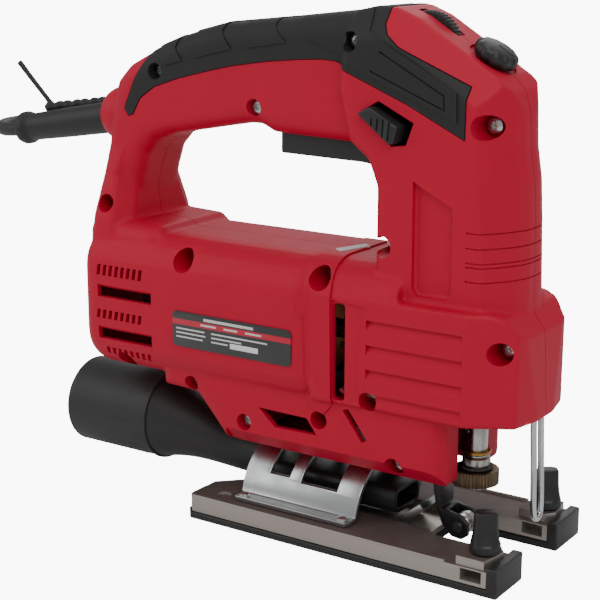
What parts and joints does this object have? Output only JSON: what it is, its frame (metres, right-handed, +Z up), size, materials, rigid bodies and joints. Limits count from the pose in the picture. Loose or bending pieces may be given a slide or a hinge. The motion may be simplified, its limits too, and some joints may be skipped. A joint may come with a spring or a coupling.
{
  "type": "jigsaw",
  "caption": "Corded orbital jigsaw with a D handle, tilting base with bevel bracket, blade clamp, guide roller, wire guard and rear dust tube.",
  "frame": {"origin": "middle of the sole's underside, at the plan centre of the base", "axes": "+X towards the blade end, +Y to the tool's left, +Z up"},
  "size_m": [0.3055, 0.1936, 0.218],
  "materials": {
    "red_shell": "fine textured moulded plastic",
    "black_rubber": "soft overmould",
    "black_plastic": "moulded",
    "label": "printed foil",
    "cast_aluminium": "die cast",
    "steel": "ground",
    "dark_steel": "laminated",
    "black_steel": "blackened",
    "zinc": "zinc plated",
    "chrome_wire": "polished",
    "bronze": "sintered bronze",
    "brass": "plain",
    "copper": "windings and bars",
    "cord_rubber": "matt"
  },
  "bodies": {
    "housing": {"housing_right": "red_shell", "housing_left": "red_shell", "grip_right": "black_rubber", "grip_left": "black_rubber", "rating_label": "label", "housing_screw_handle_rear": "zinc", "housing_screw_handle_front": "zinc", "housing_screw_handle_middle": "zinc", "housing_screw_head": "zinc", "housing_screw_rear_column": "zinc", "housing_screw_barrel_rear": "zinc", "housing_screw_barrel_front": "zinc", "housing_screw_nose": "zinc", "housing_screw_foot_rear": "zinc", "housing_screw_foot_front": "zinc", "gear_case": "cast_aluminium", "motor_stator": "dark_steel", "bearing_rear": "steel", "bearing_front": "steel", "brush_holder_right": "brass", "brush_holder_left": "brass", "gear_axle": "steel", "plunger_bush_upper": "bronze", "plunger_bush_lower": "bronze", "fork_pin": "steel", "bevel_screw": "steel", "wire_guard": "chrome_wire", "power_switch": "black_plastic", "cord_boot": "cord_rubber", "cord_lead": "cord_rubber", "cord_coil": "cord_rubber", "cord_tail": "cord_rubber", "plug_body": "cord_rubber"},
    "armature": {"armature_shaft": "steel", "armature_core": "copper", "commutator": "copper", "motor_fan": "black_plastic", "pinion": "steel"},
    "gear": {"drive_gear": "steel"},
    "plunger": {"plunger": "steel", "blade_clamp": "steel", "clamp_spring": "brass"},
    "clamp_ring": {"clamp_ring": "bronze"},
    "fork": {"pendulum_fork": "black_steel", "roller_pin": "steel"},
    "roller": {"guide_roller": "steel"},
    "orbit_lever": {"orbit_lever": "black_plastic"},
    "base": {"sole_cover": "black_plastic", "footplate": "cast_aluminium", "bevel_bracket": "zinc", "chip_duct": "black_plastic", "chip_deflector": "zinc"},
    "rail_screw_right": {"rail_screw_right": "black_plastic"},
    "rail_screw_left": {"rail_screw_left": "black_plastic"},
    "dust_tube": {"dust_tube": "black_plastic"},
    "trigger": {"trigger": "black_plastic"},
    "lock_button": {"lock_button": "black_plastic"},
    "speed_dial": {"speed_dial": "black_plastic"},
    "front_knob": {"front_knob": "black_plastic"}
  },
  "joints": [
    {"name": "gear_spin", "type": "hinge", "parent": "housing", "child": "gear", "pos_m": [0.019, 0, 0.1064], "axis": [1, 0, 0], "continuous": true},
    {"name": "armature_spin", "type": "hinge", "parent": "housing", "child": "armature", "pos_m": [0, 0, 0.084], "axis": [1, 0, 0], "continuous": true},
    {"name": "plunger_stroke", "type": "slide", "parent": "housing", "child": "plunger", "axis": [0, 0, 1], "range_m": [-0.0115, 0.0115]},
    {"name": "clamp_ring_turn", "type": "hinge", "parent": "plunger", "child": "clamp_ring", "pos_m": [0.0455, 0, 0.0325], "axis": [0, 0, 1], "range_deg": [0, 60], "stiffness_Nm_per_rad": 0.05, "springref_deg": -11.46},
    {"name": "fork_swing", "type": "hinge", "parent": "housing", "child": "fork", "pos_m": [0.031, 0, 0.05], "axis": [0, 1, 0], "range_deg": [0, 3.5]},
    {"name": "roller_spin", "type": "hinge", "parent": "fork", "child": "roller", "pos_m": [0.041, 0, 0.0105], "axis": [0, 1, 0], "continuous": true},
    {"name": "orbit_select", "type": "hinge", "parent": "housing", "child": "orbit_lever", "pos_m": [0.006, 0, 0.046], "axis": [0, 1, 0], "range_deg": [0, 90]},
    {"name": "base_tilt", "type": "hinge", "parent": "housing", "child": "base", "pos_m": [0, 0, 0.007], "axis": [1, 0, 0], "range_deg": [-45, 45]},
    {"name": "rail_screw_right_turn", "type": "hinge", "parent": "base", "child": "rail_screw_right", "pos_m": [0.0645, -0.028, 0.02], "axis": [0, 0, 1], "range_deg": [-180, 180]},
    {"name": "rail_screw_left_turn", "type": "hinge", "parent": "base", "child": "rail_screw_left", "pos_m": [0.0645, 0.028, 0.02], "axis": [0, 0, 1], "range_deg": [-180, 180]},
    {"name": "dust_tube_pull", "type": "slide", "parent": "base", "child": "dust_tube", "axis": [-1, 0, 0], "range_m": [0, 0.03]},
    {"name": "trigger_pull", "type": "hinge", "parent": "housing", "child": "trigger", "pos_m": [0.004, 0, 0.166], "axis": [0, 1, 0], "range_deg": [0, 6], "stiffness_Nm_per_rad": 1.5, "springref_deg": -5.73},
    {"name": "lock_button_press", "type": "slide", "parent": "housing", "child": "lock_button", "axis": [0, 1, 0], "range_m": [0, 0.003], "stiffness_N_per_m": 1000, "springref_m": -0.002},
    {"name": "speed_dial_turn", "type": "hinge", "parent": "housing", "child": "speed_dial", "pos_m": [0.0195, 0, 0.2025], "axis": [0, 1, 0], "range_deg": [-135, 135]},
    {"name": "front_knob_turn", "type": "hinge", "parent": "housing", "child": "front_knob", "pos_m": [0.0468, 0, 0.1986], "axis": [0.515, 0, 0.8572], "range_deg": [-120, 120]}
  ],
  "couplings": [
    {"joint": "armature_spin", "follows": "gear_spin", "ratio": -6}
  ]
}
